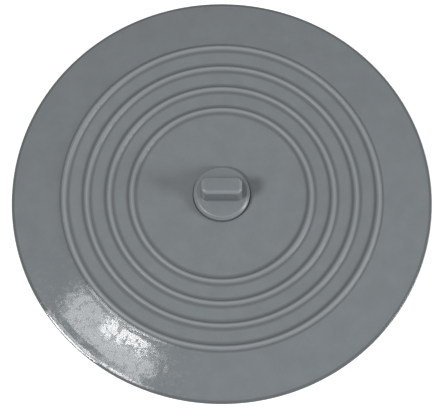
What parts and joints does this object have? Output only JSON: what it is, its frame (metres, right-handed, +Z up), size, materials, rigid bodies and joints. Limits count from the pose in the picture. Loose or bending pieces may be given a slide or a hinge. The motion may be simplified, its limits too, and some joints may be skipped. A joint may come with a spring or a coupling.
{
  "type": "sink stopper",
  "caption": "Flat round rubber sink and tub stopper: a ribbed sealing disc with a sloping flange and rounded lip, lifted by a small pull knob with a finger bar.",
  "frame": {"origin": "centre of the disc, on the flat face under the lip, which is the surface of the sink", "axes": "+Z up through the pull knob, +X along the knob's finger bar, +Y across it"},
  "size_m": [0.15, 0.15, 0.0153],
  "materials": {
    "disc_rubber": "satin",
    "knob_rubber": "satin"
  },
  "bodies": {
    "disc": {"seal_disc": "disc_rubber"},
    "knob": {"pull_knob": "knob_rubber"}
  },
  "joints": [
    {"name": "centre_flex", "type": "slide", "parent": "disc", "child": "knob", "axis": [0, 0, 1], "range_m": [-0.0015, 0.003], "stiffness_N_per_m": 120, "springref_m": 0.00015, "deforming": ["seal_disc"]}
  ]
}
